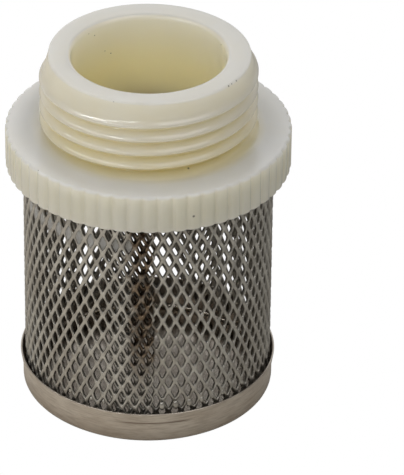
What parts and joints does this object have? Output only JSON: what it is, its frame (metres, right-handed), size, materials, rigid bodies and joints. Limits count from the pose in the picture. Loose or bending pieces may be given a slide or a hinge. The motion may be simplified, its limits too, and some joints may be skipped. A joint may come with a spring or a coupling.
{
  "type": "foot valve",
  "caption": "Suction foot valve: flanged, externally threaded plastic collar on a cylindrical expanded-metal strainer basket closed by a pressed cap, with a spring-loaded poppet inside.",
  "frame": {"origin": "centre of the end cap's underside, on the axis", "axes": "+Z along the axis from the end cap to the threaded outlet"},
  "size_m": [0.0434, 0.0434, 0.0575],
  "materials": {
    "nylon": "moulded natural nylon, ivory, slightly translucent, satin",
    "mesh_steel": "flattened expanded stainless sheet, satin, with a brown heat tint along the seam",
    "cap_steel": "pressed stainless sheet, satin",
    "acetal": "machined white acetal",
    "rubber": "black nitrile rubber",
    "spring_steel": "bright stainless spring steel"
  },
  "bodies": {
    "strainer_housing": {"threaded_collar": "nylon", "mesh_sleeve": "mesh_steel", "end_cap": "cap_steel", "valve_body": "acetal", "body_o_ring": "rubber", "guide_cage": "acetal", "snap_ring": "spring_steel", "return_spring": "spring_steel"},
    "poppet_assembly": {"poppet": "acetal", "poppet_seal": "rubber"}
  },
  "joints": [
    {"name": "poppet_lift", "type": "slide", "parent": "strainer_housing", "child": "poppet_assembly", "axis": [0, 0, 1], "range_m": [0, 0.0035], "stiffness_N_per_m": 210, "springref_m": -0.003, "deforming": ["return_spring"]}
  ]
}
